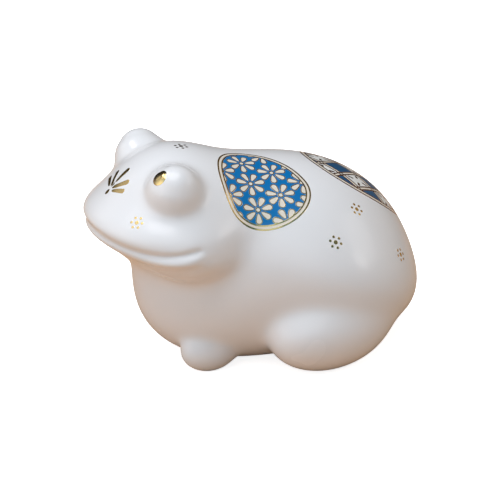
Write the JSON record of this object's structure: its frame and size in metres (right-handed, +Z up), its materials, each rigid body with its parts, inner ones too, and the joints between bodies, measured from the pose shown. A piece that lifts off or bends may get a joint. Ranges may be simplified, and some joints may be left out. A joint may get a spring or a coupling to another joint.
{
  "type": "porcelain frog figurine",
  "caption": "Small white glazed porcelain frog ornament, sitting low, with round bulging eyes, a wide rolled mouth, tucked haunches and flat feet to stand on.",
  "frame": {"origin": "on the table plane, under the middle of the frog's length and width", "axes": "+Z up, the frog faces -Y, its left side is at +X"},
  "size_m": [0.072, 0.0949, 0.0609],
  "materials": {
    "porcelain": "white porcelain under a clear satin-gloss glaze, with blue, cream and gold painted patches"
  },
  "bodies": {
    "root": {"porcelain_frog": "porcelain"}
  },
  "joints": []
}
